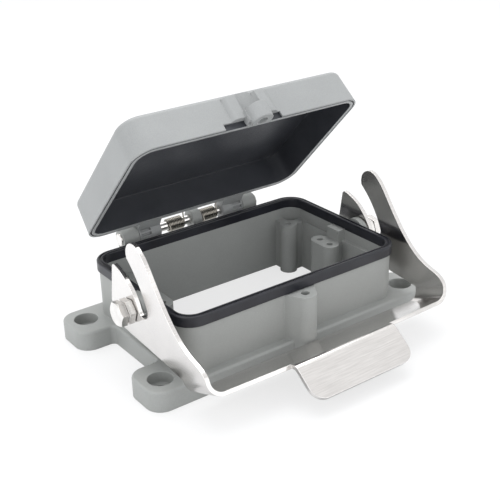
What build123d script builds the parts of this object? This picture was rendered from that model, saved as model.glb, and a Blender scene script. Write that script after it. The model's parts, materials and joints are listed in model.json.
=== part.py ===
from build123d import *
from math import atan2, cos, degrees, radians, sin, tan
import os

# Bulkhead housing for a 48-pole rectangular connector, with a spring cover and one locking lever.
# Millimetres. The origin is the centre of the four mounting holes, on the mounting face.
# +X runs along the housing, +Y towards the cover hinge and +Z away from the panel.

# Mounting feet
foot_pitch_x = 148.0
foot_pitch_y = 70.0
foot_end_reach = 10.0
foot_inner_reach = 14.2
foot_corner = 8.0
foot_root = 2.5
mounting_hole = 7.0
counterbore = 12.0
counterbore_depth = 5.5

# Housing walls and flange
wall_end_setback = 9.6
wall_side_reach = 7.2
wall_height = 34.0
wall = 2.5
wall_corner = 10.0
flange_end_reach = 1.9
flange_side_reach = 4.3
flange_height = 10.0
flange_round = 1.3
tongue_height = 3.0
tongue = 1.0

# Carriers for the two inserts
insert_end_gap = 12.4
insert_side_gap = 11.2
insert_neighbour = 8.0
post_drop = 5.7
post_radius = 4.8
post_rib = 4.6
insert_thread = 3.3
insert_thread_depth = 14.0
ledge_depth = 1.7
ledge_corner_gap = 1.0
key_width = 9.2
key_depth = 4.8
key_rise = 0.4
root_overlap = 0.4

# Seals
seal_proud = 1.0
seal_height = 5.2
seal_round = 0.9
seal_bead_groove = 0.8
seal_bead_depth = 0.5
seal_clearance = 0.1
boss_drop = 0.4
gasket_width = 2.6
gasket_depth = 1.6
gasket_inset = 0.5
gasket_corner = 10.0

# Front screw boss, on the housing and on the cover
lock_boss_reach = 4.5
lock_boss_radius = 5.5
lock_boss_root = 21.0
lock_thread = 4.2
lock_thread_depth = 16.0

# Cover
cover_gap = 0.3
cover_overhang = -0.1
cover_depth = 18.2
cover_wall = 3.2
cover_top_wall = 2.6
cover_draft = 3.5
cover_top_round = 2.4
cover_open_angle = 46.6
rim_groove = 0.7
rim_groove_depth = 1.1
rim_lip = 0.9
lock_pad_half = 16.0
lock_pad_ramp = 6.0
lock_pad_proud = 2.2
lock_boss_drop = 1.6
lock_boss_height = 6.2
lock_boss_scallop = 6.1
lock_screw_clearance = 5.3
lip_notch_left = 18.0
lip_notch_right = 14.5
lip_notch_height = 3.0

# Cover hinge
hinge_reach = 10.0
hinge_rise = 4.2
hinge_pin = 5.0
hinge_lug_wall = 2.2
hinge_web_foot = 14.0
hinge_web_gap = 3.0
cover_lug_rise = 12.0
casting_slot_angles = (186.0, 216.0)
casting_slot_length = 6.0
casting_slot_start = 3.9
casting_slot_shift = 5.2
casting_slot_width = 1.3
casting_slot_depth = 1.3
hinge_bore_clearance = 0.1
outer_lug_end = 42.2
outer_lug_length = 9.0
cover_lug_length = 13.0
lug_side_gap = 0.3
centre_lug_start = 0.3
centre_lug_length = 5.6
pin_head_rim = 0.8
pin_head_thickness = 1.0
pin_head_round = 0.6
pin_tail_chamfer = 0.4
pin_groove_depth = 0.6
clip_width = 0.8
clip_rim = 1.3
clip_grip = 0.7
clip_gap = 0.1
clip_overhang = 0.9

# Torsion springs
spring_wire = 0.8
spring_pitch = 0.9
spring_turns = 10
spring_clearance = 0.3
spring_lean = 31.5
housing_leg = 12.6
cover_leg = 11.6
spring_side_gap = 1.5
left_spring_start = -13.8

# Locking lever
sheet = 2.0
lever_side_gap = 7.3
lever_bend = 8.0
pivot_y = -8.0
pivot_drop = 1.3
strip_front_reach = 29.8
strip_front_z = 16.1
strip_back_reach = 11.3
strip_back_z = 8.5
strip_bow = 2.0
lower_edge_bow = 0.4
tab_half = 29.6
tab_reach = 18.0
tab_drop = 37.0
tab_bend = 3.0
tab_set_back = 1.8
tab_corner = 7.0

# Lever pivots
pivot_thread = 6.0
pivot_hex = 11.0
pivot_hex_turn = 10.0
pivot_hex_chamfer = 60.0
pivot_head_thickness = 3.4
pivot_nut_thickness = 3.4
pivot_nut_gap = 0.4
bush_wall = 1.5
bush_proud = 0.4
running_clearance = 0.1
pivot_boss_radius = 7.5
pivot_boss_seal_gap = 0.35
pivot_pillar_half = 8.5
pivot_pillar_foot = 18.5
pivot_pillar_drop = 1.0
pivot_screw_gap = 0.5
washer_rim = 2.0
washer_space = 0.7

# Worked-out places
wall_length = foot_pitch_x - 2 * wall_end_setback
wall_width = foot_pitch_y + 2 * wall_side_reach
insert_pitch_x = wall_length - 2 * insert_end_gap
insert_pitch_y = wall_width / 2 - insert_side_gap - insert_neighbour / 2
insert_spacing = insert_pitch_y + insert_neighbour
post_top = wall_height - post_drop
key_top = wall_height + key_rise
seal_top = wall_height + seal_height
lock_boss_y = -wall_width / 2 - lock_boss_reach
hinge_y = wall_width / 2 + hinge_reach
hinge_z = wall_height + hinge_rise
hinge_lug_radius = hinge_pin / 2 + hinge_lug_wall
pin_head = hinge_pin + 2 * pin_head_rim
clip_outer = hinge_pin + 2 * clip_rim
lever_width = wall_length + 2 * lever_side_gap
pivot_z = wall_height - pivot_drop
bush_outer = pivot_thread + 2 * bush_wall
washer_outer = bush_outer + 2 * washer_rim
flange_length = wall_length + 2 * flange_end_reach
flange_width = wall_width + 2 * flange_side_reach
cover_rim_z = seal_top + cover_gap
cover_length = wall_length + 2 * (seal_proud + cover_overhang)
cover_width = wall_width + 2 * (seal_proud + cover_overhang)
cover_corner = wall_corner + seal_proud
tongue_inset = (wall - tongue) / 2
bore = hinge_pin + hinge_bore_clearance
inner_length = wall_length - 2 * wall
inner_width = wall_width - 2 * wall
hinge_axis = Axis((0, hinge_y, hinge_z), (1, 0, 0))
plate_outer = lever_width / 2
plate_inner = plate_outer - sheet
pivot_boss_face = plate_inner - washer_space
nut_inner = plate_outer + bush_proud
head_inner = nut_inner + pivot_nut_thickness + pivot_nut_gap
insert_holes = [
    (x, y + side * insert_spacing / 2)
    for x in (-insert_pitch_x / 2, insert_pitch_x / 2)
    for side in (-1, 1)
    for y in (-insert_pitch_y / 2, insert_pitch_y / 2)
]
os.makedirs("parts", exist_ok=True)


def finish(piece, label):
    """Name a finished sub-part and write it."""
    piece.part.label = label
    export_step(piece.part, f"parts/{label}.step")


# Housing: flange, feet and walls around an open well for the inserts
with BuildPart() as housing:
    # Flange with the four feet at its corners, all one height
    with BuildSketch() as base:
        Rectangle(flange_length, flange_width)
        foot_inner_y = foot_pitch_y / 2 - foot_inner_reach
        for end in (-1, 1):
            with Locations((0, end * (flange_width / 2 + foot_inner_y) / 2)):
                Rectangle(foot_pitch_x + 2 * foot_end_reach, flange_width / 2 - foot_inner_y)
        fillet(base.vertices().filter_by(lambda v: abs(v.X) > foot_pitch_x / 2), foot_corner)
        fillet(base.vertices().filter_by(lambda v: abs(abs(v.X) - flange_length / 2) < 0.01), foot_root)
    extrude(amount=flange_height)
    fillet(housing.faces().sort_by(Axis.Z)[-1].edges(), flange_round)

    with BuildSketch():
        RectangleRounded(wall_length, wall_width, wall_corner)
    extrude(amount=wall_height)

    # Pillars stand off the short walls and carry the lever pivots
    pillar_root = wall_length / 2 - wall / 2
    pillar_top = wall_height - pivot_pillar_drop
    boss_length = pivot_boss_face - wall_length / 2 - seal_proud - pivot_boss_seal_gap
    for side in (-1, 1):
        with BuildSketch(Plane.XZ.offset(-pivot_y - pivot_pillar_half)):
            with BuildLine():
                Polyline(
                    (side * pillar_root, pivot_pillar_foot),
                    (side * wall_length / 2, pivot_pillar_foot),
                    (side * pivot_boss_face, pivot_pillar_foot + pivot_boss_face - wall_length / 2),
                    (side * pivot_boss_face, pillar_top),
                    (side * pillar_root, pillar_top),
                    close=True,
                )
            make_face()
        extrude(amount=2 * pivot_pillar_half)
        with BuildSketch(Plane.YZ.offset(side * pivot_boss_face)):
            with Locations((pivot_y, pivot_z)):
                Circle(pivot_boss_radius)
        extrude(amount=-side * boss_length)

    # Front boss for the cover screw
    with BuildSketch():
        with BuildLine():
            nose = CenterArc((0, lock_boss_y), lock_boss_radius, 200, 140)
            root_y = -wall_width / 2 + wall
            Line(nose @ 0, (-lock_boss_root / 2, root_y))
            Line((-lock_boss_root / 2, root_y), (lock_boss_root / 2, root_y))
            Line((lock_boss_root / 2, root_y), nose @ 1)
        make_face()
    extrude(amount=wall_height - boss_drop)

    # Hinge lugs stand off the back wall on webs
    lug_starts = [-outer_lug_end, outer_lug_end - outer_lug_length, centre_lug_start]
    lug_lengths = [outer_lug_length, outer_lug_length, centre_lug_length]
    for start, length in zip(lug_starts, lug_lengths):
        with BuildSketch(Plane.YZ.offset(start)):
            with Locations((hinge_y, hinge_z)):
                Circle(hinge_lug_radius)
            with BuildLine():
                Polyline(
                    (wall_width / 2 - wall, hinge_web_foot),
                    (wall_width / 2 + seal_proud, hinge_web_foot),
                    (hinge_y + hinge_lug_radius, hinge_z),
                    (hinge_y - hinge_lug_radius, hinge_z),
                    (hinge_y - hinge_lug_radius, wall_height - hinge_web_gap),
                    (wall_width / 2 - wall, wall_height - hinge_web_gap),
                    close=True,
                )
            make_face()
        extrude(amount=length)

    # The well, open at the panel side, with ledges along the short walls
    with BuildSketch():
        RectangleRounded(inner_length, inner_width, wall_corner - wall)
    extrude(amount=2 * wall_height, mode=Mode.SUBTRACT)
    for side in (-1, 1):
        with BuildSketch():
            with Locations((side * (inner_length - ledge_depth) / 2, 0)):
                Rectangle(ledge_depth + root_overlap, inner_width - 2 * (wall_corner - wall + ledge_corner_gap))
        extrude(amount=post_top)
        with BuildSketch():
            with Locations((side * (inner_length - key_depth) / 2, 0)):
                Rectangle(key_depth, key_width)
        extrude(amount=key_top)

    # Corner posts and the double centre posts take the insert screws
    with BuildSketch() as posts:
        for side in (-1, 1):
            for end in (-1, 1):
                reach_x = inner_length / 2 - insert_pitch_x / 2
                reach_y = inner_width / 2 - (insert_spacing + insert_pitch_y) / 2
                centre_y = end * (insert_spacing + insert_pitch_y) / 2
                with Locations((side * insert_pitch_x / 2, centre_y)):
                    Circle(post_radius)
                with Locations((side * (insert_pitch_x / 2 + reach_x / 2), centre_y)):
                    Rectangle(reach_x + root_overlap, post_rib)
                with Locations((side * insert_pitch_x / 2, centre_y + end * reach_y / 2)):
                    Rectangle(post_rib, reach_y + root_overlap)
            with Locations((side * insert_pitch_x / 2, 0)):
                SlotCenterToCenter(insert_spacing - insert_pitch_y, 2 * post_radius, rotation=90)
            with Locations((side * (insert_pitch_x / 2 + reach_x / 2), 0)):
                Rectangle(reach_x + root_overlap, key_width)
    extrude(amount=post_top)

    # A narrow tongue on the rim locates the seal
    with BuildSketch(Plane.XY.offset(wall_height)):
        RectangleRounded(
            wall_length - 2 * tongue_inset, wall_width - 2 * tongue_inset, wall_corner - tongue_inset
        )
        RectangleRounded(
            inner_length + 2 * tongue_inset,
            inner_width + 2 * tongue_inset,
            wall_corner - wall + tongue_inset,
            mode=Mode.SUBTRACT,
        )
    extrude(amount=tongue_height)

    # Gasket groove in the mounting face
    gasket_length = flange_length - 2 * gasket_inset
    gasket_breadth = flange_width - 2 * gasket_inset
    with BuildSketch():
        RectangleRounded(gasket_length, gasket_breadth, gasket_corner)
        RectangleRounded(
            gasket_length - 2 * gasket_width,
            gasket_breadth - 2 * gasket_width,
            gasket_corner - gasket_width,
            mode=Mode.SUBTRACT,
        )
    extrude(amount=gasket_depth, mode=Mode.SUBTRACT)

    # Holes: mounting, insert screws, cover screw, hinge pin and lever pivots
    with Locations(Plane.XY.offset(flange_height)):
        with GridLocations(foot_pitch_x, foot_pitch_y, 2, 2):
            CounterBoreHole(mounting_hole / 2, counterbore / 2, counterbore_depth)
    with Locations(Plane.XY.offset(post_top)):
        with Locations(*insert_holes):
            Hole(insert_thread / 2, depth=insert_thread_depth)
    with Locations((0, lock_boss_y, wall_height - boss_drop)):
        Hole(lock_thread / 2, depth=lock_thread_depth)
    with BuildSketch(Plane.YZ.offset(-outer_lug_end - 1)):
        with Locations((hinge_y, hinge_z)):
            Circle(bore / 2)
    extrude(amount=2 * outer_lug_end + 2, mode=Mode.SUBTRACT)
    for side in (-1, 1):
        with BuildSketch(Plane.YZ.offset(side * pivot_boss_face)):
            with Locations((pivot_y, pivot_z)):
                Circle(pivot_thread / 2)
        extrude(amount=-side * boss_length, mode=Mode.SUBTRACT)
finish(housing, "housing")


# Rim seal: a channel that grips the tongue and stands proud of the wall
with BuildPart() as rim_seal:
    with BuildSketch(Plane.XY.offset(wall_height)):
        RectangleRounded(
            wall_length + 2 * seal_proud, wall_width + 2 * seal_proud, wall_corner + seal_proud
        )
        RectangleRounded(inner_length, inner_width, wall_corner - wall, mode=Mode.SUBTRACT)
    extrude(amount=seal_top - wall_height)
    fillet(rim_seal.faces().sort_by(Axis.Z)[-1].edges(), seal_round)
    # A fine groove splits the top into two beads
    groove_inset = (wall - seal_proud - seal_bead_groove) / 2
    with BuildSketch(Plane.XY.offset(seal_top - seal_bead_depth)):
        RectangleRounded(
            wall_length - 2 * groove_inset, wall_width - 2 * groove_inset, wall_corner - groove_inset
        )
        RectangleRounded(
            wall_length - 2 * (groove_inset + seal_bead_groove),
            wall_width - 2 * (groove_inset + seal_bead_groove),
            wall_corner - groove_inset - seal_bead_groove,
            mode=Mode.SUBTRACT,
        )
    extrude(amount=seal_bead_depth, mode=Mode.SUBTRACT)
    with BuildSketch(Plane.XY.offset(wall_height)):
        slot_inset = tongue_inset - seal_clearance
        RectangleRounded(wall_length - 2 * slot_inset, wall_width - 2 * slot_inset, wall_corner - slot_inset)
        RectangleRounded(
            inner_length + 2 * slot_inset,
            inner_width + 2 * slot_inset,
            wall_corner - wall + slot_inset,
            mode=Mode.SUBTRACT,
        )
    extrude(amount=tongue_height + seal_clearance, mode=Mode.SUBTRACT)
finish(rim_seal, "rim_seal")


# Panel gasket, flush in its groove
with BuildPart() as base_gasket:
    with BuildSketch():
        RectangleRounded(gasket_length, gasket_breadth, gasket_corner)
        RectangleRounded(
            gasket_length - 2 * gasket_width,
            gasket_breadth - 2 * gasket_width,
            gasket_corner - gasket_width,
            mode=Mode.SUBTRACT,
        )
    extrude(amount=gasket_depth)
finish(base_gasket, "base_gasket")


# Cover, built closed and then swung open about the hinge pin
with BuildPart() as closed_cover:
    with BuildSketch(Plane.XY.offset(cover_rim_z)):
        RectangleRounded(cover_length, cover_width, cover_corner)
    extrude(amount=cover_depth, taper=cover_draft)
    fillet(closed_cover.faces().sort_by(Axis.Z)[-1].edges(), cover_top_round)

    # Pad and boss for the cover screw at the middle of the front wall
    front_y = -cover_width / 2
    with BuildSketch(Plane.XY.offset(cover_rim_z)):
        with BuildLine():
            foot_left = (-lock_pad_half, front_y + cover_wall / 2)
            foot_right = (lock_pad_half, front_y + cover_wall / 2)
            flat_left = (lock_pad_ramp - lock_pad_half, front_y - lock_pad_proud)
            flat_right = (lock_pad_half - lock_pad_ramp, front_y - lock_pad_proud)
            Spline(foot_left, flat_left, tangents=((1, 0), (1, 0)))
            Line(flat_left, flat_right)
            Spline(flat_right, foot_right, tangents=((1, 0), (1, 0)))
            Line(foot_right, foot_left)
        make_face()
    extrude(amount=cover_depth - cover_top_round, taper=cover_draft)
    with BuildSketch(Plane.XY.offset(cover_rim_z)):
        with Locations((0, lock_boss_y)):
            Circle(lock_boss_scallop)
    extrude(amount=cover_depth, mode=Mode.SUBTRACT)
    boss_front = abs(lock_boss_y) - wall_width / 2 + wall
    with BuildSketch(Plane.XY.offset(cover_rim_z)):
        with Locations((0, lock_boss_y)):
            Circle(lock_boss_radius)
        with Locations((0, lock_boss_y + boss_front / 2)):
            Rectangle(2 * lock_boss_scallop, boss_front)
    extrude(amount=lock_boss_height)
    # The boss's nose hangs below the rim, clear of the seal
    with BuildSketch(Plane.XY.offset(cover_rim_z)):
        with Locations((0, lock_boss_y)):
            Circle(lock_boss_radius)
        Rectangle(4 * lock_boss_radius, wall_width + 2 * seal_proud + 2 * cover_gap, mode=Mode.SUBTRACT)
    extrude(amount=-lock_boss_drop)

    # Hinge lugs on the back wall
    cover_lug_starts = [
        -outer_lug_end + outer_lug_length + lug_side_gap,
        outer_lug_end - outer_lug_length - lug_side_gap - cover_lug_length,
    ]
    for start in cover_lug_starts:
        with BuildSketch(Plane.YZ.offset(start)):
            with Locations((hinge_y, hinge_z)):
                Circle(hinge_lug_radius)
            with BuildLine():
                Polyline(
                    (hinge_y - hinge_lug_radius + hinge_bore_clearance, hinge_z),
                    (hinge_y + hinge_lug_radius - hinge_bore_clearance, hinge_z),
                    (cover_width / 2 - cover_wall / 2, cover_rim_z + cover_lug_rise),
                    (cover_width / 2 - cover_wall + rim_lip, cover_rim_z + cover_lug_rise),
                    (cover_width / 2 - cover_wall + rim_lip, cover_rim_z),
                    (cover_width / 2, cover_rim_z),
                    close=True,
                )
            make_face()
        extrude(amount=cover_lug_length)

    # Hollow inside
    with BuildSketch(Plane.XY.offset(cover_rim_z)):
        RectangleRounded(
            cover_length - 2 * cover_wall, cover_width - 2 * cover_wall, cover_corner - cover_wall
        )
    extrude(amount=cover_depth - cover_top_wall, taper=cover_draft, mode=Mode.SUBTRACT)

    # A thin groove splits the rim into two lips
    with BuildSketch(Plane.XY.offset(cover_rim_z)):
        RectangleRounded(
            cover_length - 2 * rim_lip, cover_width - 2 * rim_lip, cover_corner - rim_lip
        )
        RectangleRounded(
            cover_length - 2 * (rim_lip + rim_groove),
            cover_width - 2 * (rim_lip + rim_groove),
            cover_corner - rim_lip - rim_groove,
            mode=Mode.SUBTRACT,
        )
        with Locations((0, lock_boss_y)):
            Circle(lock_boss_radius + rim_lip + rim_groove, mode=Mode.SUBTRACT)
    extrude(amount=rim_groove_depth, mode=Mode.SUBTRACT)

    # The outer lip and the pad are cut away on both sides of the boss
    for side, notch_end in ((-1, lip_notch_left), (1, lip_notch_right)):
        with BuildSketch(Plane.XY.offset(cover_rim_z)):
            notch_length = notch_end - lock_boss_scallop
            with Locations((side * (lock_boss_scallop + notch_length / 2), front_y)):
                Rectangle(notch_length, 2 * (rim_lip + rim_groove))
            with Locations((side * (lock_boss_scallop + notch_length / 2), front_y - lock_pad_proud)):
                Rectangle(notch_length, 2 * lock_pad_proud)
        extrude(amount=lip_notch_height, mode=Mode.SUBTRACT)

    # Screw hole through the boss, and the bore for the hinge pin
    with Locations((0, lock_boss_y, cover_rim_z + lock_boss_height)):
        Hole(lock_screw_clearance / 2, depth=lock_boss_height + 2 * lock_boss_drop)
    with BuildSketch(Plane.YZ.offset(-outer_lug_end)):
        with Locations((hinge_y, hinge_z)):
            Circle(bore / 2)
    extrude(amount=2 * outer_lug_end, mode=Mode.SUBTRACT)

    # Two casting slots in each hinge lug
    for start in cover_lug_starts:
        slot_start = start + casting_slot_start + (casting_slot_shift if start > 0 else 0)
        for angle in casting_slot_angles:
            direction = Vector(0, cos(radians(angle)), sin(radians(angle)))
            slot_plane = Plane(
                origin=Vector(slot_start, hinge_y, hinge_z)
                + direction * (hinge_lug_radius - casting_slot_depth),
                x_dir=(1, 0, 0),
                z_dir=direction,
            )
            with BuildSketch(slot_plane):
                Rectangle(casting_slot_length, casting_slot_width)
            extrude(amount=2 * casting_slot_depth, mode=Mode.SUBTRACT)

with BuildPart() as cover:
    add(closed_cover.part.rotate(hinge_axis, -cover_open_angle))
finish(cover, "cover")


# Hinge pin with a domed head at one end and a clip groove at the other
pin_tail = clip_overhang + clip_width + clip_gap
with BuildPart() as hinge_pin_part:
    with BuildSketch(Plane.YZ.offset(-outer_lug_end)):
        with Locations((hinge_y, hinge_z)):
            Circle(hinge_pin / 2)
    extrude(amount=2 * outer_lug_end + pin_tail)
    chamfer(hinge_pin_part.faces().sort_by(Axis.X)[-1].edges(), pin_tail_chamfer)
    with BuildSketch(Plane.YZ.offset(-outer_lug_end)):
        with Locations((hinge_y, hinge_z)):
            Circle(pin_head / 2)
    extrude(amount=-pin_head_thickness)
    fillet(hinge_pin_part.faces().sort_by(Axis.X)[0].edges(), pin_head_round)
    with BuildSketch(Plane.YZ.offset(outer_lug_end + clip_gap)):
        with Locations((hinge_y, hinge_z)):
            Circle(clip_outer / 2)
            Circle(hinge_pin / 2 - pin_groove_depth, mode=Mode.SUBTRACT)
    extrude(amount=clip_width, mode=Mode.SUBTRACT)
finish(hinge_pin_part, "hinge_pin")


# Retaining clip in the pin's groove, open towards the mounting face
with BuildPart() as hinge_pin_clip:
    with BuildSketch(Plane.YZ.offset(outer_lug_end + 1.5 * clip_gap)):
        with Locations((hinge_y, hinge_z)):
            Circle(clip_outer / 2)
            Circle(hinge_pin / 2 - pin_groove_depth + clip_gap / 2, mode=Mode.SUBTRACT)
        with Locations((hinge_y, hinge_z - clip_outer / 2)):
            Rectangle(hinge_pin - 2 * clip_grip, clip_outer, mode=Mode.SUBTRACT)
    extrude(amount=clip_width - clip_gap)
finish(hinge_pin_clip, "hinge_pin_clip")


def build_torsion_spring(label, start_x):
    """Close-wound spring round the pin: one leg on the back wall, the other on the cover."""
    coil_radius = hinge_pin / 2 + spring_clearance + spring_wire / 2
    coil_turns = spring_turns + (cover_open_angle - 2 * spring_lean) / 360
    coil_centre = Vector(start_x, hinge_y, hinge_z)
    unturned = Helix(
        spring_pitch, spring_pitch * coil_turns, coil_radius, coil_centre, (1, 0, 0), lefthand=True
    )
    start = (unturned @ 0) - coil_centre
    coil = unturned.rotate(hinge_axis, 180 - spring_lean - degrees(atan2(start.Z, start.Y)))
    with BuildPart() as spring:
        with BuildSketch(Plane(origin=coil @ 0, z_dir=coil % 0)):
            Circle(spring_wire / 2)
        sweep(path=coil, is_frenet=True)
        legs = [(coil @ 0, -(coil % 0), housing_leg), (coil @ 1, coil % 1, cover_leg)]
        for leg_start, direction, length in legs:
            with BuildSketch(Plane(origin=leg_start, z_dir=direction)):
                Circle(spring_wire / 2)
            extrude(amount=length)
    finish(spring, label)


build_torsion_spring("torsion_spring_left", left_spring_start)
build_torsion_spring("torsion_spring_right", centre_lug_start + centre_lug_length + spring_side_gap)


def flat(point):
    """The same point in a sketch on the YZ plane."""
    return (point.Y, point.Z)


def from_pivot(y, z):
    """Point on the lever's hook, given from its pivot."""
    return Vector(0, pivot_y + y, pivot_z + z)


# Locking lever: one sheet folded into a U, with a hooked plate at each end and a thumb tab
strip_front = Vector(0, -wall_width / 2 - strip_front_reach, strip_front_z)
strip_back = Vector(0, -wall_width / 2 - strip_back_reach, strip_back_z)
strip_angle = degrees(atan2(strip_back.Z - strip_front.Z, strip_back.Y - strip_front.Y))
strip_depth = (strip_back - strip_front).length
along = Vector(0, cos(radians(strip_angle)), sin(radians(strip_angle)))
upward = Vector(0, -sin(radians(strip_angle)), cos(radians(strip_angle)))
bend_front = strip_front + upward * lever_bend
bend_back = strip_back + upward * lever_bend
with BuildPart() as locking_lever:
    # Folded strip, seen along its width
    with BuildSketch(Plane(origin=strip_front, x_dir=(1, 0, 0), z_dir=-along)) as channel:
        with Locations((0, lever_bend)):
            RectangleRounded(lever_width, 2 * lever_bend - 0.001, lever_bend - 0.001)
        with Locations((0, lever_bend + sheet / 2)):
            RectangleRounded(
                lever_width - 2 * sheet, 2 * lever_bend - sheet, lever_bend - sheet, mode=Mode.SUBTRACT
            )
        with Locations((0, 2 * lever_bend)):
            Rectangle(lever_width, 2 * lever_bend, mode=Mode.SUBTRACT)
    extrude(amount=-strip_depth)

    # Bowed front edge of the strip
    with BuildSketch(Plane(origin=strip_front, x_dir=(1, 0, 0), z_dir=upward)):
        with BuildLine():
            bow_end = plate_outer - lever_bend - sheet / 2
            ThreePointArc((-bow_end, 0), (0, -strip_bow), (bow_end, 0))
            Line((bow_end, 0), (-bow_end, 0))
        make_face()
    extrude(amount=sheet)

    # Thumb tab, bent down from the front edge
    tab_root = strip_front + along * sheet
    tab_knee = strip_front - along * (strip_bow + tab_set_back)
    tab_angle = radians(180 + tab_drop)
    tab_tip = tab_knee + Vector(0, cos(tab_angle), sin(tab_angle)) * tab_reach
    with BuildSketch(Plane.YZ.offset(-tab_half)):
        with BuildLine():
            FilletPolyline(
                flat(tab_root), flat(tab_knee), flat(tab_tip), radius=tab_bend
            )
            offset(amount=sheet, side=Side.RIGHT)
        make_face()
    extrude(amount=2 * tab_half)
    tab_corners = (
        locking_lever.edges()
        .filter_by(lambda edge: abs(edge.length - sheet) < 0.05)
        .sort_by(Axis.Y)[:2]
    )
    fillet(tab_corners, tab_corner)

    # Hooked side plates, with the slot that draws in the peg of the mating hood
    for start in (-plate_outer, plate_inner):
        with BuildSketch(Plane.YZ.offset(start)):
            with BuildLine():
                horn_tip = from_pivot(12.4, 18.2)
                horn_inner = from_pivot(1.1, 13.2)
                slot_mouth = from_pivot(-7.4, 2.9)
                slot_side = from_pivot(-12.4, 0.5)
                slot_end = from_pivot(-15.6, 5.5)
                finger_side = from_pivot(-9.4, 16.6)
                finger_inner = from_pivot(-0.3, 26.1)
                finger_tip = from_pivot(-1.0, 32.6)
                finger_outer = from_pivot(-9.2, 34.5)
                finger_back = from_pivot(-19.2, 24.5)
                plate_edge = strip_front + Vector(0, 31.5, 24.8)
                plate_front = strip_front + Vector(0, 15.0, 13.8)
                heel_low = from_pivot(6.0, -12.8)
                edge_middle = (bend_back + heel_low) / 2 + Vector(0, 0, lower_edge_bow)
                heel_side = from_pivot(14.9, -8.1)
                heel_back = from_pivot(17.6, -1.2)
                horn_back = from_pivot(14.6, 16.5)
                horn_side = from_pivot(13.9, 17.9)
                ThreePointArc(flat(horn_tip), flat(horn_inner), flat(slot_mouth))
                ThreePointArc(flat(slot_mouth), flat(slot_side), flat(slot_end))
                ThreePointArc(flat(slot_end), flat(finger_side), flat(finger_inner))
                ThreePointArc(flat(finger_inner), flat(finger_tip), flat(finger_outer))
                Spline(
                    flat(finger_outer),
                    flat(finger_back),
                    flat(plate_edge),
                    flat(plate_front),
                    flat(bend_front),
                    tangents=((-1, -0.5), (-upward.Y, -upward.Z)),
                )
                Line(flat(bend_front), flat(bend_back))
                ThreePointArc(flat(bend_back), flat(edge_middle), flat(heel_low))
                ThreePointArc(flat(heel_low), flat(heel_side), flat(heel_back))
                Line(flat(heel_back), flat(horn_back))
                ThreePointArc(flat(horn_back), flat(horn_side), flat(horn_tip))
            make_face()
        extrude(amount=sheet)
    with BuildSketch(Plane.YZ.offset(-plate_outer - 1)):
        with Locations((pivot_y, pivot_z)):
            Circle(bush_outer / 2 + running_clearance / 2)
    extrude(amount=lever_width + 2, mode=Mode.SUBTRACT)
finish(locking_lever, "locking_lever")


def pivot_plane(side, distance):
    """Plane square to the lever pivot, facing outwards on the given side."""
    return Plane(origin=(side * distance, pivot_y, pivot_z), x_dir=(0, side, 0), z_dir=(side, 0, 0))


screw_tip = wall_length / 2 + seal_proud + pivot_screw_gap
for side, end in ((-1, "left"), (1, "right")):
    # A cone cuts back the corners of both hexagons
    with BuildPart() as pivot_screw:
        with BuildSketch(pivot_plane(side, head_inner)):
            RegularPolygon(pivot_hex / 2, 6, major_radius=False, rotation=pivot_hex_turn)
        extrude(amount=pivot_head_thickness)
        with BuildSketch(pivot_plane(side, head_inner)):
            Circle(pivot_hex / 2 + pivot_head_thickness * tan(radians(pivot_hex_chamfer)))
        extrude(amount=pivot_head_thickness, taper=pivot_hex_chamfer, mode=Mode.INTERSECT)
        with BuildSketch(pivot_plane(side, screw_tip)):
            Circle(pivot_thread / 2 - running_clearance / 2)
        extrude(amount=head_inner - screw_tip)
    finish(pivot_screw, f"pivot_screw_{end}")

    with BuildPart() as pivot_nut:
        with BuildSketch(pivot_plane(side, nut_inner)):
            RegularPolygon(pivot_hex / 2, 6, major_radius=False, rotation=pivot_hex_turn)
        extrude(amount=pivot_nut_thickness)
        with BuildSketch(pivot_plane(side, nut_inner)):
            Circle(pivot_hex / 2 + pivot_nut_thickness * tan(radians(pivot_hex_chamfer)))
        extrude(amount=pivot_nut_thickness, taper=pivot_hex_chamfer, mode=Mode.INTERSECT)
        with BuildSketch(pivot_plane(side, nut_inner)):
            Circle(pivot_thread / 2)
        extrude(amount=pivot_nut_thickness, mode=Mode.SUBTRACT)
    finish(pivot_nut, f"pivot_nut_{end}")

    # Bush that the lever plate turns on
    with BuildPart() as pivot_bush:
        with BuildSketch(pivot_plane(side, pivot_boss_face)):
            Circle(bush_outer / 2)
            Circle(pivot_thread / 2 + running_clearance / 2, mode=Mode.SUBTRACT)
        extrude(amount=nut_inner - pivot_boss_face)
    finish(pivot_bush, f"pivot_bush_{end}")

    with BuildPart() as thrust_washer:
        with BuildSketch(pivot_plane(side, pivot_boss_face)):
            Circle(washer_outer / 2)
            Circle(bush_outer / 2 + running_clearance / 2, mode=Mode.SUBTRACT)
        extrude(amount=washer_space - running_clearance)
    finish(thrust_washer, f"thrust_washer_{end}")
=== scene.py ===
import bpy
import json
from math import radians
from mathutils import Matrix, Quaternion, Vector


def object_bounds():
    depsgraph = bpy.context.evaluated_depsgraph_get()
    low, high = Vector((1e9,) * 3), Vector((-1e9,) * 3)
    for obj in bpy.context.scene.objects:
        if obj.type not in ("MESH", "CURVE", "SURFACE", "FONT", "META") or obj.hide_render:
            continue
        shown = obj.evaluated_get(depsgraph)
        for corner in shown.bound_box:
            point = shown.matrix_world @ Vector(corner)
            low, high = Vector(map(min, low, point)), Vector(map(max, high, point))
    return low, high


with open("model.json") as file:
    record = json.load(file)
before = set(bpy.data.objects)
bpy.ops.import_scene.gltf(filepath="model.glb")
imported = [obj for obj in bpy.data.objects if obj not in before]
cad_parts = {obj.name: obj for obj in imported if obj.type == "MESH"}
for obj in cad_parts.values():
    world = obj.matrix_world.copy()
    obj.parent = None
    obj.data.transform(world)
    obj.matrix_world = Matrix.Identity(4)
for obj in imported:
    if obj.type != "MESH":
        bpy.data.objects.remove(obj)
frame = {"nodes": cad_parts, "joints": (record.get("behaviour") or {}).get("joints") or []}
nodes = frame["nodes"]
cadLow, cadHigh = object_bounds()
mm = 0.001
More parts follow.
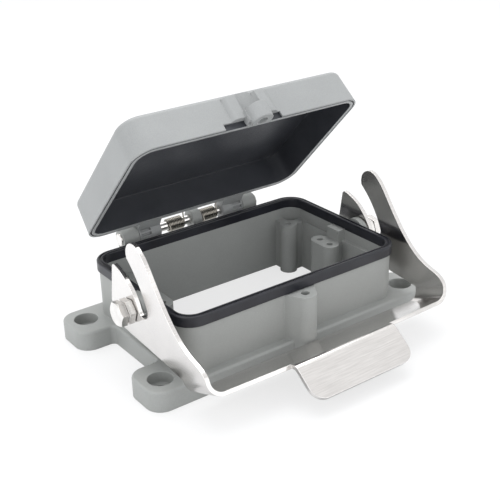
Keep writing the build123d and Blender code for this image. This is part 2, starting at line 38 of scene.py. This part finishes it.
print("frame loaded with", len(nodes), "nodes")


# One material's node tree, wrapped so that each finish below reads from top to bottom
class Shader:
    def __init__(self, name):
        self.material = bpy.data.materials.new(name)
        self.material.use_nodes = True
        self.tree = self.material.node_tree
        self.tree.nodes.clear()
        self.output = self.add("ShaderNodeOutputMaterial")
        self.surface = self.add("ShaderNodeBsdfPrincipled")
        self.link(self.surface, "BSDF", self.output, "Surface")
        self.place = self.add("ShaderNodeTexCoord")

    def add(self, kind, **settings):
        node = self.tree.nodes.new(kind)
        for key, value in settings.items():
            setattr(node, key, value)
        return node

    def link(self, source, outName, target, inName):
        self.tree.links.new(source.outputs[outName], target.inputs[inName])

    def plug(self, value, target, inName):
        # a value is a number, a colour or a (node, output name) pair
        if isinstance(value, tuple) and hasattr(value[0], "outputs"):
            self.link(value[0], value[1], target, inName)
        else:
            target.inputs[inName].default_value = value

    def math(self, operation, first, second=0.0, third=0.0):
        node = self.add("ShaderNodeMath", operation=operation)
        for index, value in enumerate((first, second, third)):
            self.plug(value, node, index)
        return (node, "Value")

    def stretched(self, scale):
        # object coordinates with each axis scaled by itself, for streaks
        mapping = self.add("ShaderNodeMapping")
        self.link(self.place, "Object", mapping, "Vector")
        mapping.inputs["Scale"].default_value = scale
        return (mapping, "Vector")

    def noise(self, size, detail=3.0, roughness=0.55, vector=None):
        # size is the grain in metres
        node = self.add("ShaderNodeTexNoise")
        self.plug(vector or (self.place, "Object"), node, "Vector")
        node.inputs["Scale"].default_value = 1.0 / size
        node.inputs["Detail"].default_value = detail
        node.inputs["Roughness"].default_value = roughness
        return (node, "Fac")

    def between(self, value, fromLow, fromHigh, toLow, toHigh):
        node = self.add("ShaderNodeMapRange")
        self.plug(value, node, "Value")
        for key, number in (
            ("From Min", fromLow), ("From Max", fromHigh), ("To Min", toLow), ("To Max", toHigh)
        ):
            node.inputs[key].default_value = number
        return (node, "Result")

    def blendColour(self, amount, first, second):
        node = self.add("ShaderNodeMix", data_type="RGBA")
        self.plug(amount, node, 0)
        self.plug(first, node, 6)
        self.plug(second, node, 7)
        return (node, 2)

    def edges(self, radius, low, high):
        # 1 along the edges and 0 on the flats, from how far a rounded normal leans
        rounded = self.add("ShaderNodeBevel", samples=6)
        rounded.inputs["Radius"].default_value = radius
        plain = self.add("ShaderNodeNewGeometry")
        dot = self.add("ShaderNodeVectorMath", operation="DOT_PRODUCT")
        self.link(rounded, "Normal", dot, 0)
        self.link(plain, "Normal", dot, 1)
        return self.between((dot, "Value"), high, low, 0.0, 1.0)

    def relief(self, layers, radius):
        # stacked bumps over softly rounded edges; each layer is (height, depth in metres)
        rounded = self.add("ShaderNodeBevel", samples=8)
        rounded.inputs["Radius"].default_value = radius
        normal = (rounded, "Normal")
        for height, depth in layers:
            bump = self.add("ShaderNodeBump")
            bump.inputs["Strength"].default_value = 1.0
            bump.inputs["Distance"].default_value = depth
            self.plug(height, bump, "Height")
            self.plug(normal, bump, "Normal")
            normal = (bump, "Normal")
        self.plug(normal, self.surface, "Normal")

    def finish(self, **sockets):
        for key, value in sockets.items():
            self.plug(value, self.surface, key.replace("_", " "))
        return self.material


def colour(red, green, blue):
    return (red, green, blue, 1.0)


def dress(nodeName, material):
    slots = nodes[nodeName].data.materials
    slots.clear()
    slots.append(material)
    for polygon in nodes[nodeName].data.polygons:
        polygon.material_index = 0


# Powder coat on die-cast metal: fine sand grain, soft orange peel and rubbed edges
powderCoat = {
    "body": colour(0.305, 0.312, 0.300),
    "bodyWorn": colour(0.50, 0.505, 0.490),
    "cover": colour(0.300, 0.307, 0.305),
    "coverWorn": colour(0.50, 0.505, 0.50),
    "grain": 0.45 * mm,
    "grainDepth": 0.05 * mm,
    "peel": 2.4 * mm,
    "peelDepth": 0.05 * mm,
    "cloud": 26 * mm,
    "cloudDark": 0.965,
    "cloudLight": 1.03,
    "fleck": 0.22,
    "rub": 0.55,
    "rubReach": 0.5 * mm,
    "smoothest": 0.40,
    "roughest": 0.58,
    "gloss": 0.45,
    "edgeRound": 0.6 * mm,
}


def shaded(base, gain):
    return colour(*(channel * gain for channel in base[:3]))


def coatLayers(shader, base, worn):
    grain = shader.noise(powderCoat["grain"], detail=2.0, roughness=0.7)
    peel = shader.noise(powderCoat["peel"], detail=2.0)
    cloud = shader.noise(powderCoat["cloud"], detail=4.0)
    tone = shader.blendColour(
        shader.between(cloud, 0.35, 0.65, 0.0, 1.0),
        shaded(base, powderCoat["cloudDark"]),
        shaded(base, powderCoat["cloudLight"]),
    )
    speck = shader.between(grain, 0.30, 0.72, 0.0, 1.0)
    flecked = shader.blendColour(shader.math("MULTIPLY", speck, powderCoat["fleck"]), tone, worn)
    rubbed = shader.math("MULTIPLY", shader.edges(powderCoat["rubReach"], 0.86, 0.985), cloud)
    tinted = shader.blendColour(shader.math("MULTIPLY", rubbed, powderCoat["rub"]), flecked, worn)
    rough = shader.between(grain, 0.25, 0.75, powderCoat["smoothest"], powderCoat["roughest"])
    layers = [(peel, powderCoat["peelDepth"]), (grain, powderCoat["grainDepth"])]
    return tinted, rough, layers


def makeBodyCoat():
    shader = Shader("housingPowderCoat")
    tinted, rough, layers = coatLayers(shader, powderCoat["body"], powderCoat["bodyWorn"])
    shader.relief(layers, powderCoat["edgeRound"])
    return shader.finish(
        Base_Color=tinted, Roughness=rough, Metallic=0.0, Specular_IOR_Level=powderCoat["gloss"]
    )


# The cover is powder coated grey outside, and its colour is dark inside the hollow; the line between
# them follows the inner lip.
# Its places are those of the shut cover, so the mask is turned shut about the hinge.
coverHinge = next(joint for joint in frame["joints"] if joint["name"] == "cover_hinge")
coverHollow = {
    "hinge": tuple(coverHinge["pos_m"]),
    "openAngle": max(coverHinge["range_deg"]),
    "halfLength": 64.3 * mm,
    "halfWidth": 42.1 * mm,
    "cornerRadius": 10.0 * mm,
    "rimHeight": 39.6 * mm,
    "notchHeight": 3.0 * mm,
    "depth": 16.2 * mm,
    "wallInset": 1.9 * mm,
    "dark": colour(0.026, 0.028, 0.034),
    "light": colour(0.054, 0.057, 0.065),
    "mottle": 14 * mm,
    "satinDrop": 0.14,
}


def insideCover(shader):
    turned = shader.add("ShaderNodeVectorRotate", rotation_type="X_AXIS")
    shader.link(shader.place, "Object", turned, "Vector")
    turned.inputs["Center"].default_value = coverHollow["hinge"]
    turned.inputs["Angle"].default_value = radians(coverHollow["openAngle"])
    split = shader.add("ShaderNodeSeparateXYZ")
    shader.link(turned, "Vector", split, "Vector")
    corner = coverHollow["cornerRadius"]
    rim = coverHollow["rimHeight"]

    def squaredPast(axis, reach):
        # how far a point lies past the straight part of the outline, squared
        offset = shader.math("SUBTRACT", shader.math("ABSOLUTE", (split, axis)), reach - corner)
        return shader.math("POWER", shader.math("MAXIMUM", offset, 0.0), 2.0)

    pastX = squaredPast("X", coverHollow["halfLength"])
    pastY = squaredPast("Y", coverHollow["halfWidth"])
    away = shader.math("SQRT", shader.math("ADD", pastX, pastY))
    # above the rim's notches the dark coat starts at the hollow's own wall
    deeper = shader.math("GREATER_THAN", (split, "Z"), rim + coverHollow["notchHeight"])
    limit = shader.math("SUBTRACT", corner, shader.math("MULTIPLY", deeper, coverHollow["wallInset"]))
    within = shader.math("LESS_THAN", away, limit)
    above = shader.math("GREATER_THAN", (split, "Z"), rim)
    below = shader.math("LESS_THAN", (split, "Z"), rim + coverHollow["depth"])
    return shader.math("MULTIPLY", shader.math("MULTIPLY", within, above), below)


def makeCoverCoat():
    shader = Shader("coverPowderCoat")
    tinted, rough, layers = coatLayers(shader, powderCoat["cover"], powderCoat["coverWorn"])
    inside = insideCover(shader)
    mottle = shader.noise(coverHollow["mottle"], detail=5.0)
    slate = shader.blendColour(mottle, coverHollow["dark"], coverHollow["light"])
    shader.relief(layers, powderCoat["edgeRound"])
    return shader.finish(
        Base_Color=shader.blendColour(inside, tinted, slate),
        Roughness=shader.math("MULTIPLY_ADD", inside, -coverHollow["satinDrop"], rough),
        Specular_IOR_Level=powderCoat["gloss"],
    )


# Moulded rubber: near black with a blue cast, faint mould bloom
rubberFinish = {
    "dark": colour(0.006, 0.0065, 0.011),
    "light": colour(0.014, 0.015, 0.022),
    "bloom": 9 * mm,
    "pores": 0.35 * mm,
    "poreDepth": 0.012 * mm,
    "smoothest": 0.30,
    "roughest": 0.44,
    "gloss": 0.5,
    "edgeRound": 0.5 * mm,
}


def makeRubber():
    shader = Shader("sealRubber")
    bloom = shader.noise(rubberFinish["bloom"], detail=5.0)
    pores = shader.noise(rubberFinish["pores"], detail=2.0)
    shade = shader.blendColour(
        shader.between(bloom, 0.35, 0.7, 0.0, 1.0), rubberFinish["dark"], rubberFinish["light"]
    )
    shader.relief([(pores, rubberFinish["poreDepth"])], rubberFinish["edgeRound"])
    return shader.finish(
        Base_Color=shade,
        Roughness=shader.between(bloom, 0.3, 0.7, rubberFinish["smoothest"], rubberFinish["roughest"]),
        Specular_IOR_Level=rubberFinish["gloss"],
    )


# Brushed stainless sheet: long fine lines along the lever, a duller haze and bright sheared edges
sheetFinish = {
    "dark": colour(0.70, 0.68, 0.665),
    "light": colour(0.82, 0.80, 0.785),
    "dull": colour(0.56, 0.55, 0.54),
    "sheared": colour(0.92, 0.91, 0.90),
    "line": 0.5 * mm,
    "lineStretch": (0.035, 1.0, 1.0),
    "lineDepth": 0.004 * mm,
    "haze": 16 * mm,
    "hazeShare": 0.25,
    "hazeRough": 0.08,
    "shearReach": 0.3 * mm,
    "shearShare": 0.5,
    "smoothest": 0.12,
    "roughest": 0.20,
    "edgeRound": 0.35 * mm,
}


def makeLeverSheet():
    shader = Shader("leverStainless")
    along = shader.stretched(sheetFinish["lineStretch"])
    lines = shader.noise(sheetFinish["line"], detail=4.0, roughness=0.6, vector=along)
    haze = shader.noise(sheetFinish["haze"], detail=5.0)
    tone = shader.blendColour(
        shader.between(lines, 0.3, 0.7, 0.0, 1.0), sheetFinish["dark"], sheetFinish["light"]
    )
    patches = shader.between(haze, 0.45, 0.75, 0.0, 1.0)
    dulled = shader.math("MULTIPLY", patches, sheetFinish["hazeShare"])
    hazed = shader.blendColour(dulled, tone, sheetFinish["dull"])
    edge = shader.edges(sheetFinish["shearReach"], 0.90, 0.99)
    bright = shader.math("MULTIPLY", edge, sheetFinish["shearShare"])
    edged = shader.blendColour(bright, hazed, sheetFinish["sheared"])
    brushed = shader.between(lines, 0.3, 0.7, sheetFinish["smoothest"], sheetFinish["roughest"])
    rough = shader.math("ADD", brushed, shader.math("MULTIPLY", haze, sheetFinish["hazeRough"]))
    shader.relief([(lines, sheetFinish["lineDepth"])], sheetFinish["edgeRound"])
    return shader.finish(Base_Color=edged, Roughness=rough, Metallic=1.0)


# Turned and plated steel for screws, nuts, bushes, washers and the hinge pin with its clip
turnedFinish = {
    "light": colour(0.84, 0.82, 0.80),
    "dark": colour(0.70, 0.68, 0.66),
    "turning": 0.25 * mm,
    "turningDepth": 0.004 * mm,
    "stain": 5 * mm,
    "smoothest": 0.16,
    "roughest": 0.28,
    "edgeRound": 0.35 * mm,
}


def makeBrightSteel():
    shader = Shader("brightSteel")
    turning = shader.noise(turnedFinish["turning"], detail=3.0)
    stain = shader.noise(turnedFinish["stain"], detail=5.0)
    tone = shader.blendColour(
        shader.between(stain, 0.35, 0.7, 0.0, 1.0), turnedFinish["light"], turnedFinish["dark"]
    )
    shader.relief([(turning, turnedFinish["turningDepth"])], turnedFinish["edgeRound"])
    rough = shader.between(stain, 0.3, 0.7, turnedFinish["smoothest"], turnedFinish["roughest"])
    return shader.finish(Base_Color=tone, Roughness=rough, Metallic=1.0)


# Drawn spring wire, duller and darker than the turned pieces
springFinish = {
    "dark": colour(0.22, 0.205, 0.18),
    "light": colour(0.42, 0.40, 0.36),
    "drawn": 0.4 * mm,
    "smoothest": 0.18,
    "roughest": 0.30,
}


def makeSpringSteel():
    shader = Shader("springSteel")
    drawn = shader.noise(springFinish["drawn"], detail=3.0)
    tone = shader.blendColour(drawn, springFinish["dark"], springFinish["light"])
    rough = shader.between(drawn, 0.3, 0.7, springFinish["smoothest"], springFinish["roughest"])
    return shader.finish(Base_Color=tone, Roughness=rough, Metallic=1.0)


bodyCoat = makeBodyCoat()
coverCoat = makeCoverCoat()
rubber = makeRubber()
leverSheet = makeLeverSheet()
brightSteel = makeBrightSteel()
springSteel = makeSpringSteel()

finishes = {
    "housing": bodyCoat,
    "cover": coverCoat,
    "rim_seal": rubber,
    "base_gasket": rubber,
    "locking_lever": leverSheet,
    "torsion_spring_left": springSteel,
    "torsion_spring_right": springSteel,
}
for nodeName in nodes:
    dress(nodeName, finishes.get(nodeName, brightSteel))
print("materials on", len(nodes), "nodes")


# Pale floor that keeps the shadow; the lift whitens it for the camera alone
floorSet = {"halfWidth": 3.0, "white": 0.86, "rough": 0.7, "lift": 0.7}


def makeFloor():
    mesh = bpy.data.meshes.new("floor")
    half = floorSet["halfWidth"]
    corners = [(-half, -half), (half, -half), (half, half), (-half, half)]
    mesh.from_pydata([(x, y, cadLow.z) for x, y in corners], [], [(0, 1, 2, 3)])
    floor = bpy.data.objects.new("floor", mesh)
    bpy.context.scene.collection.objects.link(floor)
    material = bpy.data.materials.new("paleFloor")
    material.use_nodes = True
    tree = material.node_tree
    tree.nodes.clear()
    output = tree.nodes.new("ShaderNodeOutputMaterial")
    matt = tree.nodes.new("ShaderNodeBsdfPrincipled")
    white = floorSet["white"]
    matt.inputs["Base Color"].default_value = colour(white, white, white)
    matt.inputs["Roughness"].default_value = floorSet["rough"]
    glow = tree.nodes.new("ShaderNodeEmission")
    glow.inputs["Color"].default_value = colour(1, 1, 1)
    ray = tree.nodes.new("ShaderNodeLightPath")
    share = tree.nodes.new("ShaderNodeMath")
    share.operation = "MULTIPLY"
    share.inputs[1].default_value = floorSet["lift"]
    mix = tree.nodes.new("ShaderNodeMixShader")
    tree.links.new(ray.outputs["Is Camera Ray"], share.inputs[0])
    tree.links.new(share.outputs["Value"], mix.inputs[0])
    tree.links.new(matt.outputs["BSDF"], mix.inputs[1])
    tree.links.new(glow.outputs["Emission"], mix.inputs[2])
    tree.links.new(mix.outputs["Shader"], output.inputs["Surface"])
    mesh.materials.append(material)


# Soft light from all round, seen as plain white by the camera
worldSet = {
    "light": colour(0.95, 0.97, 1.0),
    "strength": 0.98,
    "seen": colour(1, 1, 1),
    "seenStrength": 1.0,
}


def makeWorld():
    world = bpy.data.worlds.new("studio")
    bpy.context.scene.world = world
    world.use_nodes = True
    tree = world.node_tree
    tree.nodes.clear()
    output = tree.nodes.new("ShaderNodeOutputWorld")
    plain = tree.nodes.new("ShaderNodeBackground")
    plain.inputs["Color"].default_value = worldSet["light"]
    plain.inputs["Strength"].default_value = worldSet["strength"]
    seen = tree.nodes.new("ShaderNodeBackground")
    seen.inputs["Color"].default_value = worldSet["seen"]
    seen.inputs["Strength"].default_value = worldSet["seenStrength"]
    ray = tree.nodes.new("ShaderNodeLightPath")
    mix = tree.nodes.new("ShaderNodeMixShader")
    # mirror-like metal sees the same white sweep as the camera does
    either = tree.nodes.new("ShaderNodeMath")
    either.operation = "MAXIMUM"
    tree.links.new(ray.outputs["Is Camera Ray"], either.inputs[0])
    tree.links.new(ray.outputs["Is Glossy Ray"], either.inputs[1])
    tree.links.new(either.outputs["Value"], mix.inputs[0])
    tree.links.new(plain.outputs["Background"], mix.inputs[1])
    tree.links.new(seen.outputs["Background"], mix.inputs[2])
    tree.links.new(mix.outputs["Shader"], output.inputs["Surface"])


# Three soft boxes, placed in metres and watts, all aimed at the middle of the wall
lampAim = (0.0, 0.0, 0.04)
lamps = [
    {"name": "topSoftbox", "place": (0.10, 0.25, 0.85), "size": 0.8, "watts": 5.2},
    {"name": "leftSoftbox", "place": (-0.85, -0.10, 0.45), "size": 0.7, "watts": 1.7},
    {"name": "frontFill", "place": (0.35, -0.95, 0.40), "size": 0.8, "watts": 1.2},
]


def makeLamps():
    aim = Vector(lampAim)
    for lamp in lamps:
        light = bpy.data.lights.new(lamp["name"], "AREA")
        light.shape = "SQUARE"
        light.size = lamp["size"]
        light.energy = lamp["watts"]
        holder = bpy.data.objects.new(lamp["name"], light)
        holder.location = lamp["place"]
        holder.rotation_mode = "QUATERNION"
        holder.rotation_quaternion = (aim - holder.location).to_track_quat("-Z", "Y")
        bpy.context.scene.collection.objects.link(holder)


# The camera looks from the left front, a little from above, with a slight roll in degrees
cameraSet = {
    "place": (-0.2578, -0.3588, 0.2460),
    "aim": (0.0104, 0.0108, 0.0317),
    "roll": -1.38,
    "lens": 70.2,
    "sensor": 36.0,
    "nearest": 0.01,
}


def makeCamera():
    data = bpy.data.cameras.new("camera")
    data.sensor_width = cameraSet["sensor"]
    data.lens = cameraSet["lens"]
    data.clip_start = cameraSet["nearest"]
    camera = bpy.data.objects.new("camera", data)
    camera.location = cameraSet["place"]
    camera.rotation_mode = "QUATERNION"
    look = (Vector(cameraSet["aim"]) - camera.location).to_track_quat("-Z", "Y")
    camera.rotation_quaternion = look @ Quaternion((0, 0, 1), radians(cameraSet["roll"]))
    bpy.context.scene.collection.objects.link(camera)
    bpy.context.scene.camera = camera


makeFloor()
makeWorld()
makeLamps()
makeCamera()
bpy.context.scene.view_settings.view_transform = "Standard"
print("stage, lamps and camera placed")
